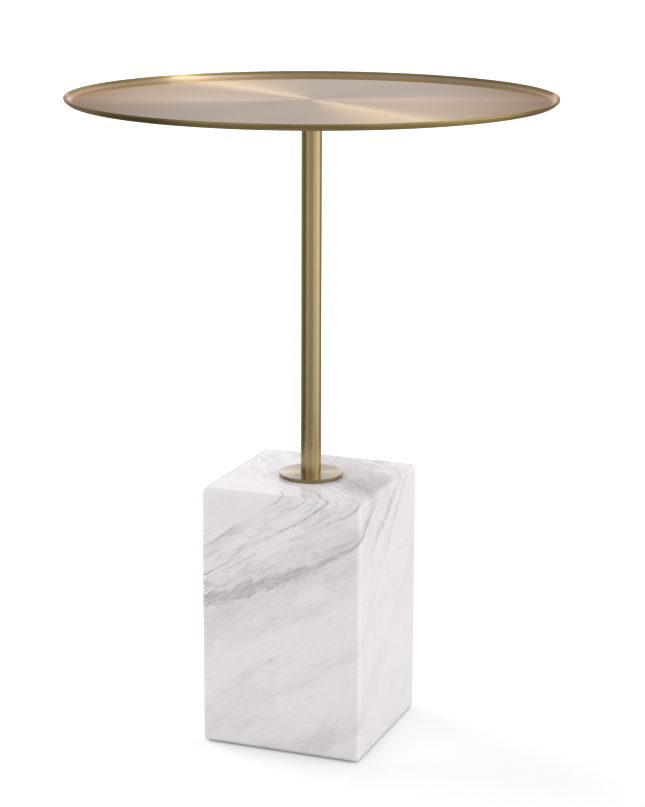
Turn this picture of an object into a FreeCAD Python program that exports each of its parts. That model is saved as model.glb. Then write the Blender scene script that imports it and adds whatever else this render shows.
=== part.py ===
# Wine table: a lipped round brass tray on a slim brass column, bolted to a square marble block.
# Millimetres. +Z is up, and the origin is on the floor under the middle of the block.
# The block's faces look along X and Y, and -Y is the front.
# Every piece is a solid of its own, and the pieces are stacked from the floor upwards.
import FreeCAD, Part
import math
import os

# Whole table
table_height = 610.0           # floor to the top of the tray's rim

# Tray, spun from sheet
tray_diameter = 450.0
tray_sheet = 2.0
tray_lip_rise = 4.2            # rim above the tray's floor
tray_lip_run = 3.5             # how far the lip leans out over that rise
tray_bend_radius = 6.0         # inside of the bend between floor and lip
tray_rim_land = 1.0            # top of the rim, before its edges are rounded
tray_edge_round = 0.6
rim_rounding_share = 0.95      # most of the rim's top that its two roundings may take

# Spreader plate and threaded boss, welded together under the tray
plate_diameter = 120.0
plate_thickness = 3.0
plate_edge_round = 0.8
boss_diameter = 30.0
boss_height = 12.0
boss_spigot_diameter = 18.0    # stands in the plate's hole
boss_edge_round = 1.0
weld_fit = 0.1                 # spigot in its hole, on the diameter

# Column tube with a tapped plug in each end
column_diameter = 19.0
column_wall = 1.5
column_edge_round = 0.25
head_plug_length = 20.0
foot_plug_length = 30.0
plug_fit = 0.1                 # plug in the tube, on the diameter
plug_edge_round = 0.5

# Thread of the head stud and the tie rod
thread_diameter = 10.0
thread_clearance = 0.1         # rod in a tapped hole, on the diameter
rod_hole_clearance = 0.6       # rod in a plain hole, on the diameter
rod_chamfer = 1.0
rod_end_room = 3.0             # thread left free past each end of the stud, and above the rod

# Ring between the column and the boss
head_gasket_thickness = 1.0
head_gasket_inset = 0.5        # inside the column's outline

# Foot flange and the soft ring under it
flange_diameter = 60.0
flange_thickness = 3.0
flange_edge_round = 0.4
flange_gasket_thickness = 0.5
flange_gasket_inset = 2.0      # inside the flange's outline

# Marble block
block_width = 158.0
block_height = 250.0
block_edge_radius = 5.0
recess_diameter = 50.0         # under the block, for the nut
recess_room = 10.0             # from the rod's end to the recess's mouth

# Bush that centres the rod at the top of the bore
bush_length = 25.0
bush_wall = 2.5
bush_fit = 0.2                 # bush in the bore, on the diameter
bush_edge_round = 0.5

# Clamping hardware in the recess
load_washer_thickness = 4.0
load_washer_room = 3.0         # between the washer's edge and the recess
load_washer_edge_round = 0.5
spring_washer_diameter = 18.0
spring_washer_thickness = 2.2
spring_washer_gap = 1.6        # the slit in the ring
nut_sides = 6
nut_across_flats = 17.0
nut_height = 8.4
nut_face_inset = 0.6           # washer face inside the flats
rod_projection = 5.0           # rod past the nut

# Under the block
pad_diameter = 25.0
pad_thickness = 1.0
pad_inset = 20.0               # pad's middle from the block's sides
pad_edge_round = 0.4
cover_overlap = 6.0            # cover past the recess's edge
cover_thickness_share = 0.5    # of the pad, which keeps the cover off the floor

# Angles, in degrees
full_turn = 360.0
nut_chamfer_angle = 30.0
spring_slit_angle = 20.0

# One overrun for all cuts
overrun = 1.0

# Heights of the stack, from the floor up
block_bottom = pad_thickness
block_top = block_bottom + block_height
flange_bottom = block_top + flange_gasket_thickness
column_bottom = flange_bottom + flange_thickness
tray_floor_top = table_height - tray_lip_rise
tray_underside = tray_floor_top - tray_sheet
plate_bottom = tray_underside - plate_thickness
boss_bottom = plate_bottom - boss_height
column_top = boss_bottom - head_gasket_thickness

# Heights of the clamping stack, from the recess's ceiling down
recess_depth = (load_washer_thickness + spring_washer_thickness + nut_height
                + rod_projection + recess_room)
recess_ceiling = block_bottom + recess_depth
load_washer_bottom = recess_ceiling - load_washer_thickness
spring_washer_bottom = load_washer_bottom - spring_washer_thickness
nut_bottom = spring_washer_bottom - nut_height
rod_bottom = nut_bottom - rod_projection
rod_top = column_bottom + foot_plug_length - rod_end_room

# Radii that several pieces share
rod_radius = thread_diameter / 2
tapped_radius = (thread_diameter + thread_clearance) / 2
rod_hole_radius = (thread_diameter + rod_hole_clearance) / 2
column_bore_radius = column_diameter / 2 - column_wall
plug_radius = column_bore_radius - plug_fit / 2
bush_radius = rod_hole_radius + bush_wall
bore_radius = bush_radius + bush_fit / 2

origin = FreeCAD.Vector(0, 0, 0)
up = FreeCAD.Vector(0, 0, 1)
along_x = FreeCAD.Vector(1, 0, 0)


def rounded_outline(corners):
    """Closed wire in the XZ plane through (radius, height, rounding) corners."""
    points = [FreeCAD.Vector(radius, 0, height) for radius, height, rounding in corners]
    starts, ends, arcs = [], [], []
    for index, point in enumerate(points):
        rounding = corners[index][2]
        to_last = (points[index - 1] - point).normalize()
        to_next = (points[(index + 1) % len(points)] - point).normalize()
        if rounding == 0:
            starts.append(point)
            ends.append(point)
            arcs.append(None)
            continue
        half_angle = to_last.getAngle(to_next) / 2
        inwards = (to_last + to_next).normalize()
        tangent = rounding / math.tan(half_angle)
        middle = point + inwards * (rounding / math.sin(half_angle) - rounding)
        starts.append(point + to_last * tangent)
        ends.append(point + to_next * tangent)
        arcs.append(Part.Arc(starts[-1], middle, ends[-1]).toShape())
    edges = []
    for index, arc in enumerate(arcs):
        if arc is not None:
            edges.append(arc)
        edges.append(Part.makeLine(ends[index], starts[(index + 1) % len(points)]))
    return Part.Wire(edges)


def turned(corners):
    """Solid turned about Z from (radius, height, rounding) corners."""
    return Part.Face(rounded_outline(corners)).revolve(origin, up, full_turn)


def ring(inner_radius, outer_radius, bottom, top, rounding=0):
    """Flat ring, with its outer edges rounded."""
    return turned([
        (inner_radius, bottom, 0),
        (outer_radius, bottom, rounding),
        (outer_radius, top, rounding),
        (inner_radius, top, 0),
    ])


def disc(radius, bottom, top, rounding=0):
    """Flat disc, with its outer edges rounded."""
    return ring(0, radius, bottom, top, rounding)


def threaded_bar(bottom, top):
    """Round bar of the thread's outer size, chamfered at both ends."""
    tip_radius = rod_radius - rod_chamfer
    return turned([
        (0, bottom, 0),
        (tip_radius, bottom, 0),
        (rod_radius, bottom + rod_chamfer, 0),
        (rod_radius, top - rod_chamfer, 0),
        (tip_radius, top, 0),
        (0, top, 0),
    ])


def make_tray():
    """Dish of even sheet: flat floor, lip leaning out, rim trimmed upright and rounded over."""
    rim_radius = tray_diameter / 2
    rim_inner_radius = rim_radius - tray_rim_land
    floor_radius = rim_inner_radius - tray_lip_run
    lip_angle = math.atan2(tray_lip_rise, tray_lip_run)
    under_floor_radius = floor_radius + tray_sheet * math.tan(lip_angle / 2)
    rim_bottom = tray_underside + (rim_radius - under_floor_radius) * math.tan(lip_angle)
    round_room = rim_rounding_share * tray_rim_land / (1 + math.tan(lip_angle / 2))
    edge_round = min(tray_edge_round, round_room)
    return turned([
        (0, tray_underside, 0),
        (under_floor_radius, tray_underside, tray_bend_radius + tray_sheet),
        (rim_radius, rim_bottom, edge_round),
        (rim_radius, table_height, edge_round),
        (rim_inner_radius, table_height, edge_round),
        (floor_radius, tray_floor_top, tray_bend_radius),
        (0, tray_floor_top, 0),
    ])


def make_tray_plate():
    """Spreader plate under the tray, holed for the boss's spigot."""
    hole_radius = (boss_spigot_diameter + weld_fit) / 2
    return turned([
        (hole_radius, plate_bottom, 0),
        (plate_diameter / 2, plate_bottom, plate_edge_round),
        (plate_diameter / 2, tray_underside, 0),
        (hole_radius, tray_underside, 0),
    ])


def make_tray_boss():
    """Boss tapped right through, its spigot in the plate and its shoulder under it."""
    return turned([
        (tapped_radius, boss_bottom, 0),
        (boss_diameter / 2, boss_bottom, boss_edge_round),
        (boss_diameter / 2, plate_bottom, 0),
        (boss_spigot_diameter / 2, plate_bottom, 0),
        (boss_spigot_diameter / 2, tray_underside, 0),
        (tapped_radius, tray_underside, 0),
    ])


def make_column_tube():
    """Tube from the flange to the ring under the boss."""
    return ring(column_bore_radius, column_diameter / 2, column_bottom, column_top, column_edge_round)


def make_head_plug():
    """Tapped plug, flush with the tube's top."""
    return ring(tapped_radius, plug_radius, column_top - head_plug_length, column_top, plug_edge_round)


def make_foot_plug():
    """Tapped plug, flush with the tube's foot."""
    return ring(tapped_radius, plug_radius, column_bottom, column_bottom + foot_plug_length,
                plug_edge_round)


def make_head_stud():
    """Stud that joins the boss to the head plug."""
    stud_bottom = column_top - head_plug_length + rod_end_room
    return threaded_bar(stud_bottom, tray_underside - rod_end_room)


def make_head_gasket():
    """Ring that keeps the column's end off the boss."""
    return ring(rod_hole_radius, column_diameter / 2 - head_gasket_inset, column_top, boss_bottom)


def make_foot_flange():
    """Disc under the column that spreads the clamping load on the marble."""
    return ring(rod_hole_radius, flange_diameter / 2, flange_bottom, column_bottom, flange_edge_round)


def make_flange_gasket():
    """Soft ring between the flange and the marble."""
    return ring(rod_hole_radius, flange_diameter / 2 - flange_gasket_inset, block_top, flange_bottom)


def make_marble_block():
    """Square block, rounded on every edge, bored through and recessed underneath."""
    corner = FreeCAD.Vector(-block_width / 2, -block_width / 2, block_bottom)
    block = Part.makeBox(block_width, block_width, block_height, corner)
    block = block.makeFillet(block_edge_radius, block.Edges)
    bore = disc(bore_radius, block_bottom - overrun, block_top + overrun)
    recess = disc(recess_diameter / 2, block_bottom - overrun, recess_ceiling)
    return block.cut(bore.fuse(recess))


def make_centring_bush():
    """Sleeve that holds the rod in the middle of the bore."""
    return ring(rod_hole_radius, bush_radius, block_top - bush_length, block_top, bush_edge_round)


def make_tie_rod():
    """Rod that pulls the column down on the block."""
    return threaded_bar(rod_bottom, rod_top)


def make_load_washer():
    """Wide washer against the recess's ceiling."""
    return ring(rod_hole_radius, recess_diameter / 2 - load_washer_room,
                load_washer_bottom, recess_ceiling, load_washer_edge_round)


def make_spring_washer():
    """Flattened spring ring with a slanting slit."""
    outer_radius = spring_washer_diameter / 2
    whole = ring(rod_hole_radius, outer_radius, spring_washer_bottom, load_washer_bottom)
    middle = (spring_washer_bottom + load_washer_bottom) / 2
    slit_height = spring_washer_diameter
    slit = Part.makeBox(outer_radius + overrun, spring_washer_gap, slit_height,
                        FreeCAD.Vector(0, -spring_washer_gap / 2, middle - slit_height / 2))
    slit.rotate(FreeCAD.Vector(0, 0, middle), along_x, spring_slit_angle)
    return whole.cut(slit)


def make_tie_nut():
    """Hexagon nut, chamfered on both faces."""
    corner_radius = nut_across_flats / 2 / math.cos(math.pi / nut_sides)
    corners = []
    for side in range(nut_sides):
        angle = 2 * math.pi * side / nut_sides
        corners.append(FreeCAD.Vector(corner_radius * math.cos(angle),
                                      corner_radius * math.sin(angle), nut_bottom))
    hexagon = Part.Face(Part.makePolygon(corners + corners[:1])).extrude(up * nut_height)
    face_radius = nut_across_flats / 2 - nut_face_inset
    reach = corner_radius + overrun
    chamfer_height = (reach - face_radius) * math.tan(math.radians(nut_chamfer_angle))
    envelope = turned([
        (tapped_radius, nut_bottom, 0),
        (face_radius, nut_bottom, 0),
        (reach, nut_bottom + chamfer_height, 0),
        (reach, spring_washer_bottom - chamfer_height, 0),
        (face_radius, spring_washer_bottom, 0),
        (tapped_radius, spring_washer_bottom, 0),
    ])
    return hexagon.common(envelope)


def make_recess_cover():
    """Thin disc stuck over the recess's mouth, clear of the floor."""
    cover_bottom = block_bottom - pad_thickness * cover_thickness_share
    return disc(recess_diameter / 2 + cover_overlap, cover_bottom, block_bottom)


def make_foot_pad(x_side, y_side):
    """Round pad near one corner of the block's underside."""
    reach = block_width / 2 - pad_inset
    pad = turned([
        (0, 0, 0),
        (pad_diameter / 2, 0, pad_edge_round),
        (pad_diameter / 2, pad_thickness, 0),
        (0, pad_thickness, 0),
    ])
    pad.translate(FreeCAD.Vector(x_side * reach, y_side * reach, 0))
    return pad


pieces = {
    "tray": make_tray(),
    "tray_plate": make_tray_plate(),
    "tray_boss": make_tray_boss(),
    "head_stud": make_head_stud(),
    "head_gasket": make_head_gasket(),
    "head_plug": make_head_plug(),
    "column_tube": make_column_tube(),
    "foot_plug": make_foot_plug(),
    "foot_flange": make_foot_flange(),
    "flange_gasket": make_flange_gasket(),
    "marble_block": make_marble_block(),
    "centring_bush": make_centring_bush(),
    "tie_rod": make_tie_rod(),
    "load_washer": make_load_washer(),
    "spring_washer": make_spring_washer(),
    "tie_nut": make_tie_nut(),
    "recess_cover": make_recess_cover(),
}
pad_places = {
    "front_left": (-1, -1),
    "front_right": (1, -1),
    "back_left": (-1, 1),
    "back_right": (1, 1),
}
for place, (x_side, y_side) in pad_places.items():
    pieces["foot_pad_" + place] = make_foot_pad(x_side, y_side)

os.makedirs("parts", exist_ok=True)
for name, shape in pieces.items():
    shape.exportStep(os.path.join("parts", name + ".step"))
    print(name, "solids", len(shape.Solids), "valid", shape.isValid(), "volume", round(shape.Volume, 1))
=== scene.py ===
# %% [markdown]
# # A wine table in brass and marble
# A lipped brass tray stands on a slim brass column, and the column is bolted to a block of white marble.
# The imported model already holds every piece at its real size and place, so this lesson only dresses it:
# it rebuilds the pieces that show with finer meshes, and gives every piece a finish made of nodes.
# All lengths are metres, and the origin lies on the floor under the middle of the block.

# %% Load the frame and keep its box
import math
from functools import partialmethod
import bmesh
import bpy
from mathutils import Matrix, Vector


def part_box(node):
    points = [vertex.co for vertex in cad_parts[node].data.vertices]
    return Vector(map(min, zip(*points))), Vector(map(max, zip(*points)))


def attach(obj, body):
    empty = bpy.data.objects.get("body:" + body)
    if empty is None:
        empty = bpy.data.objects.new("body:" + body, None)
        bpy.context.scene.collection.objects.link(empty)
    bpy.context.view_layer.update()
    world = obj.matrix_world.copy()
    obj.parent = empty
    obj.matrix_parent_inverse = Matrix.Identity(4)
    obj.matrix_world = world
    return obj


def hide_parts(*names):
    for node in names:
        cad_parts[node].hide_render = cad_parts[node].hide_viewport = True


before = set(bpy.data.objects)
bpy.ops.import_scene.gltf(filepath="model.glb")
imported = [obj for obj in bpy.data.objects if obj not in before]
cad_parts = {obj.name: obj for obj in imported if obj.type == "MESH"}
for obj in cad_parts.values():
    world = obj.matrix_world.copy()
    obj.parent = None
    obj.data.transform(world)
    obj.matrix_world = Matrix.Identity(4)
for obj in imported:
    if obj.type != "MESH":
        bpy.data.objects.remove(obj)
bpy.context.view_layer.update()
scene = bpy.context.scene
millimetre = 0.001

# %% [markdown]
# ## The camera
# A small table is usually photographed from a few metres away with a long lens, which keeps its upright
# edges nearly parallel. The camera stands to the right of the block's front face, a little above the tray,
# and looks slightly down. Its place is a distance and a bearing round the table, because those are what a
# photographer would change. One helper turns what is right or further away for the camera into the table's
# own axes.

# %% Camera
camera_bearing = math.radians(21.27)
camera_distance = 2.08
camera_height = 0.8326
camera_pan = math.radians(-0.295)
camera_tilt = math.radians(13.82)
camera_roll = math.radians(-0.22)
camera_lens = 101.68


def seen_from_camera(right, away, up):
    """Turns a direction or place as the photographer sees it into the table's own axes."""
    along_x = right * math.cos(camera_bearing) - away * math.sin(camera_bearing)
    along_y = right * math.sin(camera_bearing) + away * math.cos(camera_bearing)
    return Vector((along_x, along_y, up))


def make_camera():
    """Adds the camera and makes it the scene's own."""
    heading = camera_bearing + camera_pan
    turn = (Matrix.Rotation(heading, 4, "Z")
            @ Matrix.Rotation(math.radians(90) - camera_tilt, 4, "X")
            @ Matrix.Rotation(-camera_roll, 4, "Z"))
    lens = bpy.data.cameras.new("camera")
    lens.lens = camera_lens
    camera = bpy.data.objects.new("camera", lens)
    camera.matrix_world = Matrix.Translation(seen_from_camera(0, -camera_distance, camera_height)) @ turn
    scene.collection.objects.link(camera)
    scene.camera = camera
    return camera


camera = make_camera()
print("camera stands at", [round(v, 3) for v in camera.matrix_world.translation])

# %% [markdown]
# ## Wiring nodes
# Every finish below is a small node tree. Writing each node out in full takes five lines, so one helper adds
# a node, sets it up and feeds its inputs. Its outputs are handled as wires: a plus, a times or a less-than
# sign between two wires adds a Math node, so that sums read like sums. Another helper starts a material
# with the Principled shader, where values that are the same all over the surface are set on its sockets.

# %% Node helpers
usual_noise = (0.3, 0.7)


def add(tree, kind, feeds=None, **settings):
    """Adds a node; feeds gives an input, by name or number, a wire to follow or a plain value."""
    made = tree.nodes.new(kind)
    for setting, value in settings.items():
        setattr(made, setting, value)
    for place, value in (feeds or {}).items():
        if isinstance(value, Wire):
            tree.links.new(value.socket, made.inputs[place])
        else:
            made.inputs[place].default_value = value
    return made


def wire(tree, kind, feeds=None, output=0, **settings):
    """Adds a node and returns one of its outputs, by name or number."""
    return Wire(tree, add(tree, kind, feeds, **settings).outputs[output])


class Wire:
    """Output of a node in a tree; a sum with it adds the nodes that do the sum."""

    def __init__(self, tree, socket):
        self.tree = tree
        self.socket = socket

    def calc(self, operation, *others):
        """One step of arithmetic with other wires or numbers."""
        return wire(self.tree, "ShaderNodeMath", dict(enumerate((self, *others))), operation=operation)

    __add__ = partialmethod(calc, "ADD")
    __sub__ = partialmethod(calc, "SUBTRACT")
    __mul__ = partialmethod(calc, "MULTIPLY")
    __truediv__ = partialmethod(calc, "DIVIDE")
    __mod__ = partialmethod(calc, "MODULO")
    __lt__ = partialmethod(calc, "LESS_THAN")
    __gt__ = partialmethod(calc, "GREATER_THAN")
    __abs__ = partialmethod(calc, "ABSOLUTE")
    __neg__ = partialmethod(calc, "MULTIPLY", -1.0)
    higher = partialmethod(calc, "MAXIMUM")
    lower = partialmethod(calc, "MINIMUM")

    def remap(self, from_low, from_high, to_low=0.0, to_high=1.0, ease="SMOOTHSTEP"):
        """Stretched from one range to another, and held at both ends."""
        feeds = {0: self, 1: from_low, 2: from_high, 3: to_low, 4: to_high}
        return wire(self.tree, "ShaderNodeMapRange", feeds, interpolation_type=ease)

    def blend(self, first, second):
        """Mixes two numbers, with this wire as the second one's share."""
        return wire(self.tree, "ShaderNodeMix", {0: self, 2: first, 3: second})

    def mix(self, first, second):
        """Mixes two colours, with this wire as the second one's share."""
        return wire(self.tree, "ShaderNodeMix", {0: self, 6: first, 7: second}, 2, data_type="RGBA")

    def split(self):
        """The three parts of a vector."""
        return [Wire(self.tree, part) for part in add(self.tree, "ShaderNodeSeparateXYZ", {0: self}).outputs]

    def length(self):
        """Length of a vector."""
        return wire(self.tree, "ShaderNodeVectorMath", {0: self}, "Value", operation="LENGTH")


def compose(tree, x=0.0, y=0.0, z=0.0):
    """Vector from three wires or numbers."""
    return wire(tree, "ShaderNodeCombineXYZ", {0: x, 1: y, 2: z})


def grain(place, scale=1.0, detail=2.0, roughness=0.5):
    """Noise between 0 and 1 at a place, with scale in spots per unit."""
    feeds = {"Vector": place, "Scale": scale, "Detail": detail, "Roughness": roughness}
    return wire(place.tree, "ShaderNodeTexNoise", feeds, "Fac")


def object_place(tree):
    """Place on the piece in metres, in the table's own axes."""
    return wire(tree, "ShaderNodeTexCoord", output="Object")


def bare_finish(name):
    """Material with an empty tree."""
    finish = bpy.data.materials.new(name)
    finish.use_nodes = True
    finish.node_tree.nodes.clear()
    return finish, finish.node_tree


def new_finish(name, **constants):
    """Material with a Principled shader; constants are set on the shader's own sockets."""
    finish, tree = bare_finish(name)
    feeds = {socket.replace("_", " "): value for socket, value in constants.items()}
    skin = add(tree, "ShaderNodeBsdfPrincipled", feeds)
    add(tree, "ShaderNodeOutputMaterial", {"Surface": Wire(tree, skin.outputs["BSDF"])})
    return finish, tree, skin


def feed_skin(skin, **wires):
    """Leads what changes over the surface to the shader."""
    for name, value in wires.items():
        value.tree.links.new(value.socket, skin.inputs[name.replace("_", " ")])


print("noise is taken to lie between", *usual_noise)

# %% [markdown]
# ## Brushed brass
# The tray, the column and the flange were brushed while they turned, so their scratches are fine rings round
# the middle axis. Scratches spread a reflection across themselves and leave it sharp along themselves: that
# is anisotropy, and it draws the bright bow tie on the tray and the crisp upright stripes on the column.
# A thin clear lacquer lies on top, and it is what mirrors the lip in the tray's floor.
# The ring pattern is noise that is stretched round the axis. It reads a unit vector round the axis, which
# has no seam, and the distance across the rings, so one helper serves floor, lip and column alike.
# The three finishes differ in tone and in how fine the brush was. The tray's lip has a tone of its own. The
# tray's rim and underside take a more olive tone, darkened as painted shade for the dark reflections along
# the rim, and the flange's wall is painted much darker for the same reason. The column has painted shade
# near its foot.

# %% Brushed brass finish
tray_tones = [(0.76, 0.52, 0.28, 1.0), (0.84, 0.60, 0.34, 1.0)]
column_tones = [(0.80, 0.62, 0.305, 1.0), (0.84, 0.66, 0.33, 1.0)]
flange_tones = [(0.86, 0.69, 0.42, 1.0), (0.90, 0.73, 0.45, 1.0)]
# The flange's and the tray's edge tones are painted shade, darker in place of dark reflections along the
# edges.
flange_dark_edge_tone = (0.32, 0.23, 0.11, 1.0)
lip_tone = (0.93, 0.74, 0.53, 1.0)
edge_tone = (0.68, 0.50, 0.20, 1.0)
black = (0.0, 0.0, 0.0, 1.0)
tray_glance = (0.91, 0.69, 0.55, 1.0)
flange_glance = (1.0, 0.93, 1.0, 1.0)
round_the_axis = 0.25
ring_stretch = 2.0
ring_pitch = 6 * millimetre
scratch_pitch = 0.7 * millimetre
scratch_depth = 0.02 * millimetre
smudges_per_metre = 9.0
smudge_share = 0.3
lip_from = 216.2 * millimetre
lip_blend = 1.2 * millimetre
lip_roughness = 0.36
lip_scratch_share = 0.2
upright = 0.2
edge_from = 221.5 * millimetre
edge_blend = 0.7 * millimetre
tilt_blend = 0.25
# Heights over which painted shade darkens the column towards its foot.
foot_shade_from, foot_shade_to = 254 * millimetre, 334 * millimetre


def from_axis(tree):
    """Unit vector round the axis, distance from the axis and height, for a place on the piece."""
    x, y, height = object_place(tree).split()
    flat = compose(tree, x, y)
    around = wire(tree, "ShaderNodeVectorMath", {0: flat}, operation="NORMALIZE")
    return around, flat.length(), height


def ring_noise(tree, pitch, detail):
    """Noise that changes quickly across the brushing and slowly along it."""
    around, reach, height = from_axis(tree)
    turn = around.split()
    place = compose(tree, turn[0] * ring_stretch, turn[1] * ring_stretch, (reach + height) / pitch)
    return grain(place, detail=detail, roughness=0.6)


def make_brushed_brass(name, tones, glance, roughness, coat, scratch,
                       dark_edge_tone=edge_tone, dark_edge_tilt=-0.3, painted_foot_shade=0.0):
    """Ring-brushed brass under a clear lacquer; the rim and faces that tilt down get a darker tone as
    painted shade.
    """
    finish, tree, skin = new_finish(name, Metallic=1.0, Anisotropic=1.0, Anisotropic_Rotation=round_the_axis,
                                    Specular_Tint=glance, Coat_Weight=coat, Coat_Roughness=0.05,
                                    Coat_IOR=1.5)
    reach, height = from_axis(tree)[1:]
    facing_up = wire(tree, "ShaderNodeNewGeometry", output="Normal").split()[2]
    scratches = ring_noise(tree, scratch_pitch, detail=2.0)
    both = ring_noise(tree, ring_pitch, detail=3.0) * 0.5 + scratches * 0.5
    smudge = grain(object_place(tree), smudges_per_metre)
    brushed = (both * (1 - smudge_share) + smudge * smudge_share).remap(*usual_noise, *roughness)
    on_lip = facing_up.remap(-upright, upright) * reach.remap(lip_from, lip_from + lip_blend)
    tone = on_lip.mix(both.remap(*usual_noise).mix(*tones), lip_tone)
    # Painted shade: the colour darkens towards the column's foot.
    tone = height.remap(foot_shade_from, foot_shade_to, painted_foot_shade, 0.0).mix(tone, black)
    # Painted shade: the rim and the faces that tilt down take the darker edge tone, in place of dark
    # reflections.
    at_rim = reach.remap(edge_from, edge_from + edge_blend)
    painted_dark_edge = at_rim.higher(facing_up.remap(dark_edge_tilt, dark_edge_tilt + tilt_blend, 1.0, 0.0))
    depth = on_lip.remap(0.0, 1.0, scratch, lip_scratch_share * scratch)
    bump = wire(tree, "ShaderNodeBump", {"Strength": depth, "Distance": scratch_depth, "Height": scratches})
    tangent = wire(tree, "ShaderNodeTangent", direction_type="UV_MAP", uv_map="turned")
    feed_skin(skin, Base_Color=painted_dark_edge.mix(tone, dark_edge_tone), Roughness=on_lip.blend(brushed, lip_roughness),
              Normal=bump, Tangent=tangent)
    return finish


brushed_brass = make_brushed_brass("brushed_brass", tray_tones, tray_glance, roughness=(0.36, 0.46),
                                   coat=0.46, scratch=0.12)
column_brass = make_brushed_brass("column_brass", column_tones, tray_glance, roughness=(0.17, 0.23),
                                  coat=0.3, scratch=0.03, painted_foot_shade=0.25)
flange_brass = make_brushed_brass("flange_brass", flange_tones, flange_glance, roughness=(0.2, 0.28),
                                  coat=1.0, scratch=0.05, dark_edge_tone=flange_dark_edge_tone, dark_edge_tilt=0.5)
print("made", brushed_brass.name, column_brass.name, "and", flange_brass.name)

# %% [markdown]
# ## A lathe of Geometry Nodes
# Every round piece here is turned: one outline swung round the axis. A Screw modifier would do it, but then
# the piece would have no map for the brushing to follow. So a node tree bends a flat grid instead. Each row
# of the grid takes the height and radius of one outline point and each column takes one angle. The grid's
# own map comes along, with u going round the axis, which is the tangent that the brushed brass needs.
# The thread and the weld further down bend a grid in the same way, so its two halves are helpers.

# %% Lathe tree
seam_gap = 0.001 * millimetre


def new_tree(name, whole, *sizes):
    """Geometry Nodes tree and its inputs: the piece, some sizes, one whole number and the finish."""
    tree = bpy.data.node_groups.new(name, "GeometryNodeTree")
    kinds = {"Geometry": "Geometry", **dict.fromkeys(sizes, "Float"), whole: "Int", "Finish": "Material"}
    for label, kind in kinds.items():
        tree.interface.new_socket(label, in_out="INPUT", socket_type="NodeSocket" + kind)
    tree.interface.new_socket("Geometry", in_out="OUTPUT", socket_type="NodeSocketGeometry")
    return tree, {socket.name: Wire(tree, socket) for socket in add(tree, "NodeGroupInput").outputs}


def close_tree(tree, mesh, finish):
    """Ends a tree: instances become real mesh, and the material is set."""
    real = wire(tree, "GeometryNodeRealizeInstances", {0: mesh})
    dressed = wire(tree, "GeometryNodeSetMaterial", {"Geometry": real, "Material": finish})
    add(tree, "NodeGroupOutput", {0: dressed})
    return tree


def join(tree, piece, extra):
    """Puts more mesh beside a piece."""
    joined = add(tree, "GeometryNodeJoinGeometry", {0: piece})
    tree.links.new(extra.socket, joined.inputs[0])
    return Wire(tree, joined.outputs[0])


def position(tree):
    """Place of each point."""
    return wire(tree, "GeometryNodeInputPosition")


def flat_grid(tree, segments, last_row):
    """Grid to be bent round the axis: its mesh and map, each point's share of a turn, and its row."""
    grid = add(tree, "GeometryNodeMeshGrid",
               {"Size X": 1.0, "Size Y": 1.0, "Vertices X": segments + 1, "Vertices Y": last_row + 1})
    place = position(tree).split()
    row = ((place[1] + 0.5) * last_row).calc("ROUND")
    return Wire(tree, grid.outputs["Mesh"]), Wire(tree, grid.outputs["UV Map"]), place[0] + 0.5, row


def swing(mesh, share, reach, height, gap=seam_gap):
    """Bends a grid round the Z axis and closes its seam and poles."""
    angle = share * (2 * math.pi)
    bent = compose(mesh.tree, reach * angle.calc("COSINE"), reach * angle.calc("SINE"), height)
    moved = wire(mesh.tree, "GeometryNodeSetPosition", {"Geometry": mesh, "Position": bent})
    return wire(mesh.tree, "GeometryNodeMergeByDistance", {"Geometry": moved, "Distance": gap})


def make_lathe():
    """Tree that swings a row of outline points round the Z axis."""
    tree, given = new_tree("lathe", "Segments")
    points = wire(tree, "GeometryNodeAttributeDomainSize", {0: given["Geometry"]}, "Point Count")
    mesh, flat_map, share, row = flat_grid(tree, given["Segments"], points - 1)
    outline = wire(tree, "GeometryNodeSampleIndex",
                   {"Geometry": given["Geometry"], "Value": position(tree), "Index": row},
                   data_type="FLOAT_VECTOR", domain="POINT").split()
    mapped = wire(tree, "GeometryNodeStoreNamedAttribute",
                  {"Geometry": mesh, "Name": "turned", "Value": flat_map},
                  data_type="FLOAT2", domain="CORNER")
    closed = swing(mapped, share, outline[0], outline[2])
    smooth = wire(tree, "GeometryNodeSetShadeSmooth", {"Geometry": closed})
    return close_tree(tree, smooth, given["Finish"])


lathe = make_lathe()
print("lathe tree has", len(lathe.nodes), "nodes")

# %% [markdown]
# ## From an outline to a finished piece
# An outline is written as corners, each with a radius, a height and a rounding, as a turner would dimension
# it. The rounding is worked out as an arc of a few steps. After the tree has run, the result becomes a plain
# mesh, edges sharper than a limit are marked, and weighted normals keep the flat faces flat beside the
# small roundings, which matters on metal that mirrors its surroundings.

# %% Outline and piece helpers
arc_steps = 10
sharp_edge = math.radians(35)


def rounded_outline(corners):
    """Points of an outline through (radius, height, rounding) corners, with arcs at the roundings."""
    points = []
    for index, (radius, height, rounding) in enumerate(corners):
        corner = Vector((radius, height))
        if rounding == 0:
            points.append(corner)
            continue
        before = (Vector(corners[index - 1][:2]) - corner).normalized()
        after = (Vector(corners[(index + 1) % len(corners)][:2]) - corner).normalized()
        half = before.angle(after) / 2
        middle = corner + (before + after).normalized() * (rounding / math.sin(half))
        start = corner + before * (rounding / math.tan(half)) - middle
        sweep = start.angle_signed(corner + after * (rounding / math.tan(half)) - middle)
        for step in range(arc_steps + 1):
            angle = -sweep * step / arc_steps
            points.append(middle + Matrix.Rotation(angle, 2) @ start)
    return points


def bake_modifiers(piece):
    """Swaps a piece's mesh for the one that its modifiers give, and removes them."""
    graph = bpy.context.evaluated_depsgraph_get()
    mesh = bpy.data.meshes.new_from_object(piece.evaluated_get(graph), preserve_all_data_layers=True,
                                           depsgraph=graph)
    piece.modifiers.clear()
    piece.data = mesh
    mesh.name = piece.name


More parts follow.
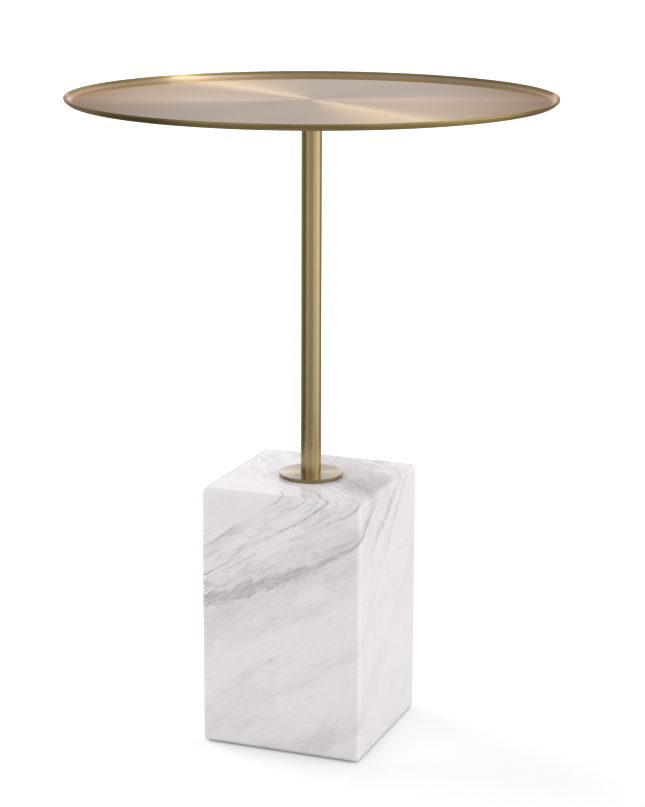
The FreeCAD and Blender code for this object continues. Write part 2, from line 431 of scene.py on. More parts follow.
def run_tree(piece, tree, **values):
    """Runs a tree on a piece, keeps the result as a plain mesh, and removes the modifier."""
    modifier = piece.modifiers.new(tree.name, "NODES")
    modifier.node_group = tree
    for item in tree.interface.items_tree:
        label = item.name.replace(" ", "_")
        if item.in_out == "INPUT" and label in values:
            modifier[item.identifier] = values[label]
    bake_modifiers(piece)


def new_piece(name, points, faces=()):
    """Object at the origin with a mesh of these points."""
    mesh = bpy.data.meshes.new(name)
    mesh.from_pydata([tuple(point) for point in points], [], list(faces))
    piece = bpy.data.objects.new(name, mesh)
    scene.collection.objects.link(piece)
    return piece


def settle_normals(piece):
    """Marks sharp edges and keeps flat faces flat beside small roundings."""
    piece.data.set_sharp_from_angle(angle=sharp_edge)
    modifier = piece.modifiers.new("flat faces", "WEIGHTED_NORMAL")
    modifier.keep_sharp = True
    bake_modifiers(piece)


def turn_piece(name, corners, segments, finish, ring=False):
    """Turned piece; a ring's outline closes on itself, and any other starts and ends on the axis."""
    outline = rounded_outline(corners)
    if ring:
        outline.append(outline[0])
    piece = new_piece(name, [(point.x, 0, point.y) for point in outline])
    run_tree(piece, lathe, Segments=segments, Finish=finish)
    settle_normals(piece)
    return piece


def put_on_table(piece, node):
    """Lets a piece ride on the table in place of a node, which is hidden."""
    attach(piece, "root")
    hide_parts(node)
    low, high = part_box(node)
    print(piece.name, "has", len(piece.data.polygons), "faces and stands from",
          round(low.z, 4), "to", round(high.z, 4))


print("each rounding is an arc of", arc_steps, "steps")

# %% [markdown]
# ## Tray
# A spinner presses a disc of sheet over a former: a flat floor, a low lip that sweeps up on a wide bend and
# leans out, and a rim that is trimmed and rounded over. The outline follows both faces of the sheet. Its
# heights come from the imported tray's box, and only the lip's own sizes are written here.

# %% Tray
tray_sheet = 2.0 * millimetre
lip_rise = 4.2 * millimetre
lip_run = 3.5 * millimetre
bend_radius = 6.0 * millimetre
rim_land = 1.0 * millimetre
rim_round = 0.6 * millimetre
tray_segments = 384


def make_tray():
    """Spun tray with a lip that leans out."""
    low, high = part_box("tray")
    rim_radius = -low.y
    lip_angle = math.atan2(lip_rise, lip_run)
    floor_radius = rim_radius - rim_land - lip_run
    under_radius = floor_radius + tray_sheet * math.tan(lip_angle / 2)
    rim_bottom = low.z + (rim_radius - under_radius) * math.tan(lip_angle)
    corners = [
        (0, low.z, 0),
        (under_radius, low.z, bend_radius + tray_sheet),
        (rim_radius, rim_bottom, rim_round),
        (rim_radius, high.z, rim_round),
        (rim_radius - rim_land, high.z, rim_round),
        (floor_radius, high.z - lip_rise, bend_radius),
        (0, high.z - lip_rise, 0),
    ]
    return turn_piece("tray_spun", corners, tray_segments, brushed_brass)


tray = make_tray()
put_on_table(tray, "tray")

# %% [markdown]
# ## Column and foot flange
# The column is a length of brass tube and the flange a thin disc that it stands on. Both have their sharp
# edges just broken, because even a tiny rounding catches a thin line of light. The flange's wall has a dark
# tone painted on, which stands in for the dark reflection round its edge.

# %% Column and flange
tube_wall = 1.5 * millimetre
tube_edge = 0.25 * millimetre
flange_edge = 0.4 * millimetre
rod_hole_radius = 5.3 * millimetre
column_segments = 128


def ring_corners(node, inner_radius, lower_edge, upper_edge):
    """Outline of a plain ring that fills a node's box, with its outer edges rounded."""
    low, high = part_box(node)
    return [
        (inner_radius, low.z, 0),
        (high.y, low.z, lower_edge),
        (high.y, high.z, upper_edge),
        (inner_radius, high.z, 0),
    ]


bore_of_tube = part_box("column_tube")[1].y - tube_wall
column = turn_piece("column_turned", ring_corners("column_tube", bore_of_tube, tube_edge, tube_edge),
                    column_segments, column_brass, ring=True)
put_on_table(column, "column_tube")
flange = turn_piece("flange_turned", ring_corners("foot_flange", rod_hole_radius, flange_edge, flange_edge),
                    column_segments, flange_brass, ring=True)
put_on_table(flange, "foot_flange")

# %% [markdown]
# ## White marble
# Marble was laid down in beds, so its veins are thin sheets that cut every face of the block at the same
# tilt. A vein that is painted on each face apart would break at the edges. Here the colour is worked out
# from the place inside the stone: the height above a tilted bed, bent by noise, all in millimetres. Finer
# streaks are noise that is stretched along the bed.
# Each named band lies at a height above the bed: most are veins and clouds in the stone, one is painted
# shade and one is partly painted shade, low on the front face. Its height is where it starts at the front
# left edge, climb and rear are its slopes to the right and inwards, and curl steepens it. Width is half its
# thickness, which taper thins towards the right, and start and stop cut it off. Front and deep say how dark
# it is at the front and further in, gaps how much is left where it breaks, and ragged how torn its edge is.

# %% White marble finish
stone_white = (0.925, 0.895, 0.92, 1.0)
vein_and_shade_grey = (0.44, 0.40, 0.43, 1.0)
vein_brown = (0.47, 0.38, 0.30, 1.0)
cloud_grey = (0.70, 0.67, 0.69, 1.0)
half_block = 79.0
bed_climb, bed_rear = 0.62, 0.62
broad_bend_size, broad_bend_reach = 70, 5.0
fine_bend_size, fine_bend_reach = 22, 4.6
fade_from, fade_to = 12.0, 50.0
end_fade = 5.0
least_swell, most_swell = 0.5, 1.4
usual_gaps, usual_ragged = 1.0, 0.9
palest_vein = 0.55
vein_core = 0.3
break_noise = (0.38, 0.58)
pale_noise = (0.36, 0.6)
patch_noise = (0.46, 0.64)
crystal_size, tint_size = 2.5, 30
vein_and_shade_bands = {
    "broad vein": dict(height=141, climb=0.28, curl=0.0012, rear=0.67, width=14, taper=0.42,
                       front=0.8, deep=0.2, ragged=0.7),
    "its branch": dict(height=157, climb=0.06, rear=0.9, width=3, stop=60,
                       front=0.6, deep=0.1, gaps=0.3, ragged=0.4),
    "thin dark vein": dict(height=164, climb=0.68, rear=0.8, width=1.7,
                           front=0.9, deep=0.2, gaps=0.1, ragged=0.2),
    "top vein": dict(height=191, climb=0.73, rear=0.38, width=2.2,
                     front=0.6, deep=0.2, gaps=0.1, ragged=0.4),
    "upper right vein": dict(height=158, climb=0.58, rear=0.7, width=3, start=90,
                             front=0.55, deep=0.42, gaps=0.5, ragged=0.4),
    "low cloud": dict(height=88, climb=0.60, rear=0.8, width=11, start=24, stop=100, front=0.2, deep=0.06),
    "right cloud": dict(height=107, climb=0.56, rear=0.7, width=5, start=95, front=0.36, deep=0.3, gaps=0.3),
    # Partly a cloud in the stone and partly painted shade low on the front face.
    "foot cloud and painted shade": dict(height=-46, climb=0.55, rear=0.8, width=20, front=0.32, deep=0.1, gaps=0.3),
    "top cloud": dict(height=186, climb=0.73, rear=0.38, width=13, front=0.12, deep=0.3, gaps=0.3),
    "side cloud": dict(height=118, climb=0.62, rear=0.62, width=46, stop=156,
                       front=0.28, deep=0.66, gaps=0.8, ragged=0.4),
    # Painted shade: this band darkens the lower left of the front face.
    "painted low left shade": dict(height=19, climb=0.55, rear=0.8, width=36, stop=75,
                           front=0.2, deep=0.05, gaps=0.6),
    "side vein": dict(height=80, climb=0.62, rear=0.66, width=9, front=0.1, deep=0.6, gaps=0.4),
    "rear vein": dict(height=12, climb=0.62, rear=1.1, width=6, front=0.1, deep=0.3, gaps=0.2),
}


def centred(noise, reach):
    """Turns noise between 0 and 1 into a push of so much either way."""
    return (noise - 0.5) * (2 * reach)


def above_bed(spot, climb, curl, rear):
    """Height above a bed that climbs to the right and to the rear."""
    from_left = spot[0] + half_block
    from_front = spot[1] + half_block
    return spot[2] - (from_left * climb + from_left * from_left * curl + from_front * rear)


def bed_noise(spot, bed, length, thickness, detail, roughness=0.5):
    """Noise with spots that are long in the bed and thin across it."""
    place = compose(bed.tree, spot[0] / length, spot[1] / length, bed / thickness)
    return grain(place, detail=detail, roughness=roughness)


def vein_and_shade_amount(spot, bend, bed):
    """How much vein and painted shade there is at a place: each named band swells, breaks and fades inwards.
    """
    swell = bed_noise(spot, bed, length=30, thickness=12, detail=3.0, roughness=0.6)
    breaks = bed_noise(spot, bed, length=30, thickness=20, detail=1.0)
    feather = bed_noise(spot, bed, length=13, thickness=2.2, detail=3.0, roughness=0.7)
    from_left = spot[0] + half_block
    total = 0.0
    for vein in vein_and_shade_bands.values():
        height = above_bed(spot, vein["climb"], vein.get("curl", 0), vein["rear"]) + bend
        off = abs(height - vein["height"])
        width = swell.remap(*usual_noise, least_swell * vein["width"], most_swell * vein["width"])
        if "taper" in vein:
            width = width * from_left.remap(0, 2 * half_block, 1.0, vein["taper"], "LINEAR")
        tear = centred(feather, vein.get("ragged", usual_ragged))
        band = (off / width + tear).remap(vein_core, 1.0, 1.0, 0.0)
        kept = breaks.remap(*break_noise, vein.get("gaps", usual_gaps), 1.0)
        dark = spot[1].remap(fade_from - half_block, fade_to - half_block, vein["front"], vein["deep"])
        amount = band * kept * dark
        if "start" in vein:
            amount = amount * from_left.remap(vein["start"] - end_fade, vein["start"] + end_fade)
        if "stop" in vein:
            amount = amount * from_left.remap(vein["stop"] - end_fade, vein["stop"] + end_fade, 1.0, 0.0)
        total = amount.higher(total)
    return total * feather.remap(*pale_noise, 1.0, palest_vein)


def streak_amount(spot, bed, length, thickness, strength, fineness=0.03):
    """Hairlines where noise along the bed crosses its middle, in patches."""
    noise = bed_noise(spot, bed, length, thickness, detail=3.0, roughness=0.6)
    lines = abs(noise - 0.5).remap(0.1 * fineness, fineness, 1.0, 0.0)
    patches = bed_noise(spot, bed, 0.8 * length, 3 * thickness, detail=2.0)
    return lines * patches.remap(*patch_noise) * strength


def bed_zone(bed, rise, fall, below, above):
    """1 in a range of heights, easing to a share of that below and above it."""
    return bed.remap(*rise, below, 1.0) * bed.remap(*fall, 1.0, above)


def make_white_marble():
    """Polished white marble with grey veins along tilted beds."""
    finish, tree, skin = new_finish("white_marble", Roughness=0.07, IOR=1.5)
    place = wire(tree, "ShaderNodeVectorMath", {0: object_place(tree), "Scale": 1 / millimetre},
                 operation="SCALE")
    spot = place.split()
    broad_noise = grain(place, 1 / broad_bend_size, detail=1.0)
    fine_noise = grain(place, 1 / fine_bend_size, detail=5.0, roughness=0.66)
    bend = centred(broad_noise, broad_bend_reach) + centred(fine_noise, fine_bend_reach)
    bed = above_bed(spot, bed_climb, 0.0, bed_rear) + bend
    streaky = bed_zone(bed, rise=(90, 150), fall=(188, 210), below=0.2, above=0.1)
    coarse = streak_amount(spot, bed, length=80, thickness=8, strength=0.5)
    hairs = streak_amount(spot, bed, length=50, thickness=2.6, strength=0.55)
    marks = bed_noise(spot, bed, length=14, thickness=5, detail=1.0).remap(0.75, 0.82, 0.0, 0.5)
    fine = (coarse.higher(hairs) * streaky).higher(marks)
    clouds = bed_noise(spot, bed, length=75, thickness=22, detail=3.0, roughness=0.55)
    cloudy = bed_zone(bed, rise=(60, 150), fall=(180, 205), below=0.45, above=0.2)
    crystals = grain(place, 1 / crystal_size).remap(0.35, 0.7, 0.0, 0.1)
    haze = (clouds.remap(0.45, 0.8, 0.0, 0.8) * cloudy).higher(crystals)
    tint = grain(place, 1 / tint_size, detail=1.0).remap(0.38, 0.6)
    stone = fine.mix(haze.mix(stone_white, cloud_grey), tint.mix(vein_and_shade_grey, vein_brown))
    feed_skin(skin, Base_Color=vein_and_shade_amount(spot, bend, bed).mix(stone, vein_and_shade_grey))
    return finish


white_marble = make_white_marble()
print("made", white_marble.name, "with", len(vein_and_shade_bands), "named veins")

# %% [markdown]
# ## Marble block
# The block is sawn, its edges are rounded and every face is polished. It is a box with a Bevel, and a
# stepped cutter, turned on the same lathe, bores it for the rod and sinks the recess for the nut.

# %% Marble block
block_edge = 5.0 * millimetre
block_edge_steps = 8
bore_radius = 7.9 * millimetre
recess_radius = 25.0 * millimetre
recess_depth = 29.6 * millimetre
cut_overrun = 1.0 * millimetre


def make_block():
    """Rounded box, bored through and recessed underneath."""
    low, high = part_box("marble_block")
    shape = bmesh.new()
    bmesh.ops.create_cube(shape, size=1.0)
    bmesh.ops.scale(shape, vec=high - low, verts=shape.verts)
    bmesh.ops.translate(shape, vec=(low + high) / 2, verts=shape.verts)
    piece = new_piece("block_polished", [])
    shape.to_mesh(piece.data)
    shape.free()
    piece.data.materials.append(white_marble)
    bevel = piece.modifiers.new("rounded edges", "BEVEL")
    bevel.width = block_edge
    bevel.segments = block_edge_steps
    ceiling = low.z + recess_depth
    cutter = turn_piece("cutter", [
        (0, low.z - cut_overrun, 0),
        (recess_radius, low.z - cut_overrun, 0),
        (recess_radius, ceiling, 0),
        (bore_radius, ceiling, 0),
        (bore_radius, high.z + cut_overrun, 0),
        (0, high.z + cut_overrun, 0),
    ], column_segments, white_marble)
    cut = piece.modifiers.new("bore and recess", "BOOLEAN")
    cut.object = cutter
    bake_modifiers(piece)
    bpy.data.objects.remove(cutter)
    for face in piece.data.polygons:
        face.use_smooth = True
    settle_normals(piece)
    return piece


block = make_block()
put_on_table(block, "marble_block")

# %% [markdown]
# ## Quieter finishes
# The pieces under the tray and inside the block are seldom seen, but they are real materials: satin brass
# dulled by a wheel, cloudy zinc plate, moulded rubber, natural nylon and grey felt. None is one flat colour.
# Each mixes two tones by noise and lets the same noise move the roughness, so one helper makes them all.

# %% Quieter finishes
cloud_share = 6
bump_strength = 0.4


def make_mottled(name, tones, spot, roughness, bump, **constants):
    """Finish of two mingled tones; spot and bump are the size and height of its grain in millimetres."""
    finish, tree, skin = new_finish(name, **constants)
    spots_per_metre = 1 / (spot * millimetre)
    cloud = grain(object_place(tree), spots_per_metre / cloud_share)
    speck = grain(object_place(tree), spots_per_metre, detail=3.0, roughness=0.6)
    both = cloud * 0.5 + speck * 0.5
    tone = both.remap(0.35, 0.65).mix(tones[0] + (1.0,), tones[1] + (1.0,))
    relief = wire(tree, "ShaderNodeBump",
                  {"Strength": bump_strength, "Distance": bump * millimetre, "Height": speck})
    feed_skin(skin, Base_Color=tone, Roughness=both.remap(*usual_noise, *roughness), Normal=relief)
    return finish


satin_brass = make_mottled("satin_brass", [(0.60, 0.46, 0.27), (0.72, 0.57, 0.35)],
                           spot=0.6, roughness=(0.34, 0.5), bump=0.02, Metallic=1.0)
zinc_steel = make_mottled("zinc_steel", [(0.54, 0.55, 0.56), (0.68, 0.69, 0.72)],
                          spot=1.2, roughness=(0.28, 0.48), bump=0.02, Metallic=1.0)
black_rubber = make_mottled("black_rubber", [(0.035, 0.035, 0.036), (0.06, 0.06, 0.058)],
                            spot=0.4, roughness=(0.62, 0.85), bump=0.05)
nylon = make_mottled("nylon", [(0.80, 0.78, 0.72), (0.88, 0.87, 0.83)],
                     spot=0.8, roughness=(0.38, 0.55), bump=0.02)
grey_felt = make_mottled("grey_felt", [(0.15, 0.145, 0.14), (0.28, 0.27, 0.26)],
                         spot=0.35, roughness=(0.88, 1.0), bump=0.1, Sheen_Weight=0.3)
plain_nodes = {
    "head_gasket": black_rubber, "flange_gasket": black_rubber, "centring_bush": nylon,
    "head_plug": zinc_steel, "foot_plug": zinc_steel, "load_washer": zinc_steel,
    "spring_washer": zinc_steel, "tie_nut": zinc_steel,
}
for node, finish in plain_nodes.items():
    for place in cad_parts[node].material_slots:
        place.material = finish
print("dressed", len(plain_nodes), "packed pieces that keep their shape")

# %% [markdown]
# ## Felt
# Felt is a mat of short hairs that lie every way. A material alone would leave its edge as clean as plastic,
# so a node tree scatters bent hairs over a turned disc and leaves out the glued top. Each hair is only a
# dozen faces. A last step lifts anything that would reach below the floor.

# %% Felt tree
glued_tilt = 0.5
hair_bow = 0.6


def make_felt():
    """Tree that covers the open faces of a disc with short bent hairs."""
    tree, given = new_tree("felt", "Seed", "Hairs per Square Metre", "Hair Length", "Hair Radius", "Lowest")
    facing_up = wire(tree, "GeometryNodeInputNormal").split()[2]
    scatter = add(tree, "GeometryNodeDistributePointsOnFaces",
                  {"Mesh": given["Geometry"], "Density": given["Hairs per Square Metre"],
                   "Selection": facing_up < glued_tilt, "Seed": given["Seed"]}).outputs
    half = given["Hair Length"] * 0.5
    sink = -given["Hair Radius"]
    path = wire(tree, "GeometryNodeCurveQuadraticBezier",
                {"Resolution": 4, "Start": compose(tree, x=-half, z=sink),
                 "Middle": compose(tree, y=half * hair_bow, z=given["Hair Radius"] * 2.0),
                 "End": compose(tree, x=half, z=sink)})
    section = wire(tree, "GeometryNodeCurvePrimitiveCircle",
                   {"Resolution": 3, "Radius": given["Hair Radius"]}, "Curve")
    hair = wire(tree, "GeometryNodeCurveToMesh",
                {"Curve": path, "Profile Curve": section, "Fill Caps": True})
    angle = wire(tree, "FunctionNodeRandomValue", {"Max": 2 * math.pi, "Seed": given["Seed"]}, "Value",
                 data_type="FLOAT")
    spin = wire(tree, "FunctionNodeAxisAngleToRotation", {"Axis": (0, 0, 1), "Angle": angle})
    spun = wire(tree, "FunctionNodeRotateRotation",
                {"Rotation": Wire(tree, scatter["Rotation"]), "Rotate By": spin}, rotation_space="LOCAL")
    hairs = wire(tree, "GeometryNodeInstanceOnPoints",
                 {"Points": Wire(tree, scatter["Points"]), "Instance": hair, "Rotation": spun})
    mesh = join(tree, given["Geometry"], wire(tree, "GeometryNodeRealizeInstances", {0: hairs}))
    spot = position(tree).split()
    raised = compose(tree, spot[0], spot[1], spot[2].higher(given["Lowest"]))
    clear = wire(tree, "GeometryNodeSetPosition", {"Geometry": mesh, "Position": raised})
    return close_tree(tree, clear, given["Finish"])


felt = make_felt()
print("felt tree has", len(felt.nodes), "nodes")

# %% [markdown]
# ## Felt pads and cover
# Four felt discs keep the stone off the floor, and a wider one hides the nut in its recess. They are punched
# from one sheet and glued on. Each disc stops two hairs short of the floor, which leaves room for its hairs.

# %% Felt pads and cover
hair_length = 1.6 * millimetre
hair_radius = 0.035 * millimetre
pad_edge = 0.4 * millimetre
pad_hairs = 1400000
cover_hairs = 700000
felt_segments = 64


def make_felt_disc(name, node, edge, hairs, seed):
    """Felt disc that fills a node's box, haired on every side but the glued one."""
    low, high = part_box(node)
    radius = (high.y - low.y) / 2
    under = low.z + 2 * hair_radius
    piece = turn_piece(name, [(0, under, 0), (radius, under, edge), (radius, high.z, 0), (0, high.z, 0)],
                       felt_segments, grey_felt)
    middle = (low + high) / 2
    piece.data.transform(Matrix.Translation((middle.x, middle.y, 0)))
    run_tree(piece, felt, Hairs_per_Square_Metre=hairs, Hair_Length=hair_length, Hair_Radius=hair_radius,
             Lowest=low.z, Seed=seed, Finish=grey_felt)
    put_on_table(piece, node)


corners = ("front_left", "front_right", "back_left", "back_right")
for seed, corner in enumerate(corners):
    make_felt_disc("pad_" + corner, "foot_pad_" + corner, pad_edge, pad_hairs, seed)
make_felt_disc("cover_felt", "recess_cover", 0, cover_hairs, len(corners))

# %% [markdown]
# ## Thread
# A thread is one groove that climbs by its pitch in each turn. The node tree bends a grid into a tube as the
# lathe does, but it also lifts each column by its share of a turn, so that the rows become a screw line.
# Rows go in fours: two at the groove's bottom and two on the crest. Heights are held between the two ends,
# where the bar is chamfered, and the first and the last row close the ends.

# %% Thread tree
rows_per_turn = 4
thread_gap = 0.002 * millimetre


def make_thread():
    """Tree that makes a chamfered bar with a right-hand thread."""
    tree, given = new_tree("thread", "Segments", "Bottom", "Top", "Radius", "Pitch", "Depth", "Chamfer")
    length = given["Top"] - given["Bottom"]
    turns = (length / given["Pitch"] + 1.0).calc("CEIL")
    last_row = turns * rows_per_turn + 2
    mesh, _, share, row = flat_grid(tree, given["Segments"], last_row)
    wound = (row - 1) / rows_per_turn + share
    height = ((wound - 1.0) * given["Pitch"]).higher(0.0).lower(length)
    in_groove = row % rows_per_turn < 1.5
    from_end = height.lower(length - height)
    tip = given["Radius"] - given["Chamfer"] + from_end
    reach = (given["Radius"] - in_groove * given["Depth"]).lower(tip)
    at_top = row > last_row - 0.5
    between = (row > 0.5) * (row < last_row - 0.5)
    held = height * between + at_top * length
    closed = swing(mesh, share, reach * between, given["Bottom"] + held, thread_gap)
    return close_tree(tree, closed, given["Finish"])


thread = make_thread()
print("thread tree has", len(thread.nodes), "nodes")

# %% [markdown]
# ## Threaded rod and stud
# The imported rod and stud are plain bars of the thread's outer size. Both are M10, so they share one pitch
# and depth, and each takes its length from its own box.

# %% Rod and stud
thread_pitch = 1.5 * millimetre
thread_depth = 0.9 * millimetre
bar_chamfer = 1.0 * millimetre
thread_segments = 24


def make_threaded_bar(name, node):
    """Threaded bar that fills a node's box."""
    low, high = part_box(node)
    piece = new_piece(name, [(0, 0, low.z)])
    run_tree(piece, thread, Bottom=low.z, Top=high.z, Radius=high.y, Pitch=thread_pitch, Depth=thread_depth,
             Chamfer=bar_chamfer, Segments=thread_segments, Finish=zinc_steel)
    settle_normals(piece)
    put_on_table(piece, node)


make_threaded_bar("rod_threaded", "tie_rod")
make_threaded_bar("stud_threaded", "head_stud")

# %% [markdown]
# ## Weld
# A weld bead is a soft fillet with one ripple for each drop of metal that was added. The node tree bends a
# grid into a ring with a quarter-round section, lets the section swell and shrink along the way, and adds it
# to the piece. The first and the last row run along the corner and close the bead.

# %% Weld tree
bead_rows = 7
steps_per_ripple = 6
ripple_swell = 0.16
ripple_slant = 0.6


def make_weld():
    """Tree that adds a rippled fillet, in the corner between an upright wall and the face above it."""
    tree, given = new_tree("weld", "Ripples", "Wall Radius", "Face Height", "Leg")
    mesh, _, share, row = flat_grid(tree, given["Ripples"] * steps_per_ripple, bead_rows)
    sweep = row.remap(1, bead_rows - 1, 0.0, math.pi / 2, "LINEAR")
    slant = (sweep * 2.0).calc("SINE") * ripple_slant
    beat = share * given["Ripples"] * math.pi + slant
    ripple = abs(beat.calc("SINE")) * ripple_swell
    between = (row > 0.5) * (row < bead_rows - 0.5)
    size = given["Leg"] * between * (ripple + (1 - ripple_swell))
    reach = given["Wall Radius"] + size * sweep.calc("COSINE")
    closed = swing(mesh, share, reach, given["Face Height"] - size * sweep.calc("SINE"))
    outward = wire(tree, "GeometryNodeFlipFaces", {"Mesh": closed})
    smooth = wire(tree, "GeometryNodeSetShadeSmooth", {"Geometry": outward})
    return close_tree(tree, join(tree, given["Geometry"], smooth), given["Finish"])


weld = make_weld()
print("weld tree has", len(weld.nodes), "nodes")

# %% [markdown]
# ## Welded plate and boss
# Under the tray a plate spreads the load, and the boss for the column is let into it by a spigot. The plate
# is welded to the tray all round, and the boss to the plate at its shoulder.

# %% Plate and boss
plate_edge = 0.8 * millimetre
plate_hole_radius = 9.05 * millimetre
boss_edge = 1.0 * millimetre
boss_spigot_radius = 9.0 * millimetre
tapped_radius = 5.05 * millimetre
weld_leg = 2.0 * millimetre
ripple_length = 2.2 * millimetre


def make_welded(name, node, corners, face_height):
    """Turned piece with a weld bead in the corner between its wall and the face above it."""
    wall_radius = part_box(node)[1].y
    piece = turn_piece(name, corners, column_segments, satin_brass, ring=True)
    run_tree(piece, weld, Wall_Radius=wall_radius, Face_Height=face_height, Leg=weld_leg,
             Ripples=round(2 * math.pi * wall_radius / ripple_length), Finish=satin_brass)
    settle_normals(piece)
    put_on_table(piece, node)


shoulder, plate_top = (corner.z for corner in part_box("tray_plate"))
boss_low, boss_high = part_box("tray_boss")
plate_corners = ring_corners("tray_plate", plate_hole_radius, plate_edge, 0)
make_welded("plate_welded", "tray_plate", plate_corners, plate_top)
make_welded("boss_welded", "tray_boss", [
    (tapped_radius, boss_low.z, 0),
    (boss_high.y, boss_low.z, boss_edge),
    (boss_high.y, shoulder, 0),
    (boss_spigot_radius, shoulder, 0),
    (boss_spigot_radius, boss_high.z, 0),
    (tapped_radius, boss_high.z, 0),
], shoulder)

# %% [markdown]
# ## Floor and background
# The table stands on a plain white floor with no horizon. A floor that is only lit turns grey far from the
# lamps, and one that only glows loses the shadow that tells us the block stands on it. So the floor does
# both: it is pale paint, and for the camera, mirrors and glass it also glows, more with distance and not at
# all right under the block. From below it is clear, so that the underside can be looked at.
# The world is plain white to look at, and a softer light to stand in.

# %% Floor and world
floor_reach = 60.0
floor_paint = (0.7, 0.7, 0.7, 1.0)
floor_near, floor_far = 0.45, 2.0
shade_inner, shade_outer = 0.069, 0.081
glow_near, glow_far = 0.32, 1.0
white = (1.0, 1.0, 1.0, 1.0)
world_level = 0.68
scene.view_settings.view_transform = "Standard"


def seen_directly(tree):
    """1 for rays from the camera, a mirror or glass, and 0 for the light that falls on things."""
    seen = 0.0
    for ray in ("Camera", "Glossy", "Transmission"):
        seen = wire(tree, "ShaderNodeLightPath", output=f"Is {ray} Ray").higher(seen)
    return seen


def make_floor():
    """Large pale floor that looks white but keeps the table's shadow."""
    sides = [(-1, -1), (1, -1), (1, 1), (-1, 1)]
    corners = [(x * floor_reach, y * floor_reach, 0) for x, y in sides]
    piece = new_piece("floor", corners, faces=[(0, 1, 2, 3)])
    finish, tree = bare_finish("studio_floor")
    finish.cycles.emission_sampling = "NONE"
    parts = object_place(tree).split()
    from_middle = abs(parts[0]).higher(abs(parts[1]))
    lift = (object_place(tree).length().remap(floor_near, floor_far, glow_near, glow_far)
            * from_middle.remap(shade_inner, shade_outer))
    paint = wire(tree, "ShaderNodeBsdfDiffuse", {"Color": floor_paint})
    glow = wire(tree, "ShaderNodeEmission", {"Strength": lift * seen_directly(tree)})
    both = wire(tree, "ShaderNodeAddShader", {0: paint, 1: glow})
    beneath = wire(tree, "ShaderNodeNewGeometry", output="Backfacing")
    clear = wire(tree, "ShaderNodeBsdfTransparent")
    one_sided = wire(tree, "ShaderNodeMixShader", {0: beneath, 1: both, 2: clear})
    add(tree, "ShaderNodeOutputMaterial", {"Surface": one_sided})
    piece.data.materials.append(finish)


def make_world():
    """White to look at, and a softer light on things."""
    world = bpy.data.worlds.new("studio")
    world.use_nodes = True
    tree = world.node_tree
    tree.nodes.clear()
    strength = seen_directly(tree).remap(0.0, 1.0, world_level, 1.0, "LINEAR")
    sky = wire(tree, "ShaderNodeBackground", {"Color": white, "Strength": strength})
    add(tree, "ShaderNodeOutputWorld", {"Surface": sky})
    scene.world = world


make_floor()
make_world()
print("floor reaches", floor_reach, "m and the world lights at", world_level)

# %% [markdown]
# ## A tent of cards for the metal
# Polished metal has almost no colour pattern of its own: what it shows is what stands around it. In an empty
# white room brass looks flat, so a photographer rings it with cards, dark on one side and pale on the other.
# Here the cards are one tent, turned on the lathe, that only reflections can see. Each card has a bearing
# round the table, 0 being towards the camera and 90 to the camera's right, half its width and the softness
# of its sides in degrees, and a level. A card with a lowest edge above the floor covers only that range of
# heights, as the backdrops behind the tray do. Later cards hang in front of earlier ones.
# The tent has a ceiling of one level. Its ground is a mat that shows the cards dimmed, darkest at the foot.

# %% Tent of cards
tent_radius = 2.7
tent_height = 3.0
tent_middle = 0.6
tent_lift = 0.1 * millimetre
room_level = 0.27
cards = {
    "upper left": dict(bearing=-164, half=18, soft=12, level=0.34, lowest=1.03),
    "upper right": dict(bearing=162, half=20, soft=12, level=0.62, lowest=1.03),
    "upper backdrop": dict(bearing=180, half=7, soft=8, level=0.6, lowest=0.81, highest=1.5),
    "backdrop": dict(bearing=180, half=7.6, soft=8, level=1.13, lowest=0.8, highest=0.985),
    "left backdrop": dict(bearing=-172, half=7.2, soft=1.2, level=1.1, lowest=0.94, highest=1.09),
    "black flag": dict(bearing=-88, half=23, soft=14, level=0.15),
    "grey card": dict(bearing=-40, half=21, soft=12, level=0.45),
    "camera side": dict(bearing=2, half=14, soft=12, level=0.38),
    "pale card": dict(bearing=65, half=45, soft=16, level=0.66),
    "bright strip": dict(bearing=78, half=20, soft=16, level=0.9),
}
card_fade = 0.02
ceiling_level = 0.29
ceiling_from, ceiling_to = math.radians(25), math.radians(50)
mat_near, mat_far = 0.8, 1.3
mat_near_share, mat_far_share = 0.3, 0.8
foot_level = 0.19
foot_inner, foot_outer = 0.25, 0.7


def card_share(card, bearing, height):
    """1 on a card and 0 off it, with soft sides."""
    apart = abs((bearing - card["bearing"]).calc("WRAP", 180, -180))
    inside = apart.remap(card["half"] - card["soft"] / 2, card["half"] + card["soft"] / 2, 1.0, 0.0)
    if "lowest" not in card:
        return inside
    lowest, highest = card["lowest"], card.get("highest", tent_height)
    above = height.remap(lowest - card_fade, lowest + card_fade)
    below = height.remap(highest - card_fade, highest + card_fade, 1.0, 0.0)
    return inside * (above * below)


def tent_level(tree):
    """Brightness of the tent: cards by bearing, then the mat, the ceiling and the shade at the foot."""
    right, away, height = wire(tree, "ShaderNodeVectorRotate",
                               {"Vector": object_place(tree), "Angle": -camera_bearing},
                               rotation_type="Z_AXIS").split()
    bearing = right.calc("ARCTAN2", -away).calc("DEGREES")
    level = room_level
    for card in cards.values():
        level = card_share(card, bearing, height).blend(level, card["level"])
    reach = compose(tree, right, away).length()
    on_mat = height < 2 * tent_lift
    at_foot = reach.remap(foot_inner, foot_outer, 1.0, 0.0) * on_mat
    overhead = (height - tent_middle).calc("ARCTAN2", reach).remap(ceiling_from, ceiling_to)
    level = on_mat.blend(level, level * reach.remap(mat_near, mat_far, mat_near_share, mat_far_share))
    return at_foot.blend(overhead.blend(level, ceiling_level), foot_level)


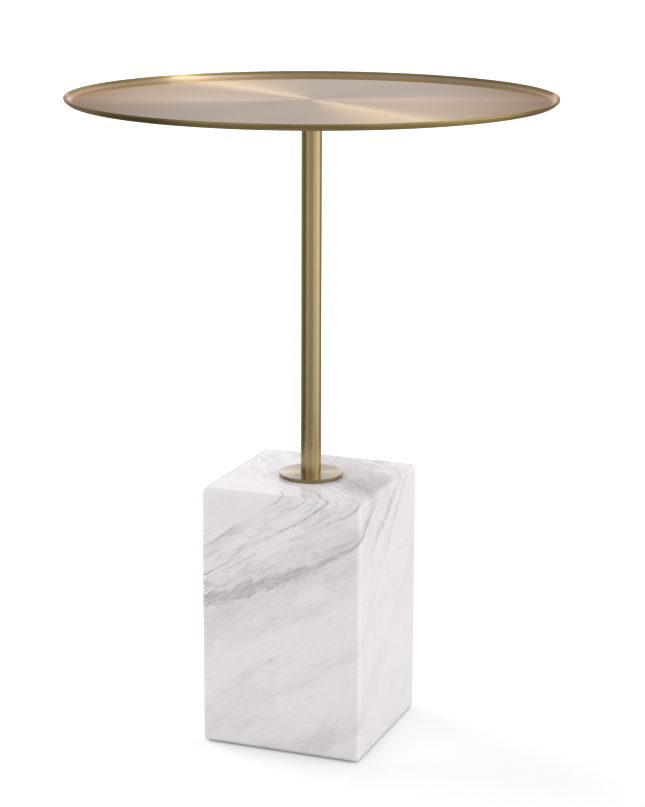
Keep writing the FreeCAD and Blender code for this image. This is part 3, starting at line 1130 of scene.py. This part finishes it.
def make_tent():
    """Ring of cards with a ceiling and a mat, seen only in reflections."""
    corners = [(0, tent_lift, 0), (tent_radius, tent_lift, 0), (tent_radius, tent_height, 0),
               (0, tent_height, 0)]
    finish, tree = bare_finish("card_tent")
    finish.cycles.emission_sampling = "NONE"
    glow = wire(tree, "ShaderNodeEmission", {"Strength": tent_level(tree)})
    add(tree, "ShaderNodeOutputMaterial", {"Surface": glow})
    tent = turn_piece("card_tent", corners, column_segments, finish)
    for ray in ("camera", "diffuse", "shadow", "transmission"):
        setattr(tent, "visible_" + ray, False)


make_tent()
print("tent of", len(cards), "cards,", tent_radius, "m out")

# %% [markdown]
# ## Lamps
# The key is a long, narrow softbox over the table, to the right and a little behind it. It is the bright
# spot that the brushing draws out into a bow tie. Four broad ones light the stone: a fill from the front
# left, one from the right, and two from behind, which keep the top of the block bright. Only the key shows
# in reflections, because the tent already decides what else the metal mirrors.

# %% Lamps
tray_middle = (0, 0, 0.6)
block_middle = (0, 0, 0.15)
lamps = {
    "key": dict(place=(0.59, 0.59, 1.95), aim=tray_middle, width=1.3, height=0.2, power=2.5),
    "fill": dict(place=(-1.52, -1.52, 1.0), aim=block_middle, width=1.2, height=1.2, power=8.7),
    "side": dict(place=(2.2, -0.4, 0.7), aim=block_middle, width=1.0, height=1.4, power=21),
    "back left": dict(place=(-1.6, 1.1, 1.6), aim=block_middle, width=1.4, height=1.4, power=27),
    "back right": dict(place=(1.2, 1.6, 1.6), aim=block_middle, width=1.4, height=1.4, power=3),
}


def add_softbox(name, place, aim, width, height, power):
    """Lamp with a flat face, at a place as the photographer sees it, aimed at a point."""
    lamp = bpy.data.lights.new(name, "AREA")
    lamp.shape = "RECTANGLE"
    lamp.size = width
    lamp.size_y = height
    lamp.energy = power
    softbox = bpy.data.objects.new(name, lamp)
    spot = seen_from_camera(*place)
    look = (Vector(aim) - spot).to_track_quat("-Z", "Y")
    softbox.matrix_world = Matrix.Translation(spot) @ look.to_matrix().to_4x4()
    softbox.visible_glossy = name == "key"
    scene.collection.objects.link(softbox)


for name, sizes in lamps.items():
    add_softbox(name, **sizes)
print("lamps:", ", ".join(lamps))
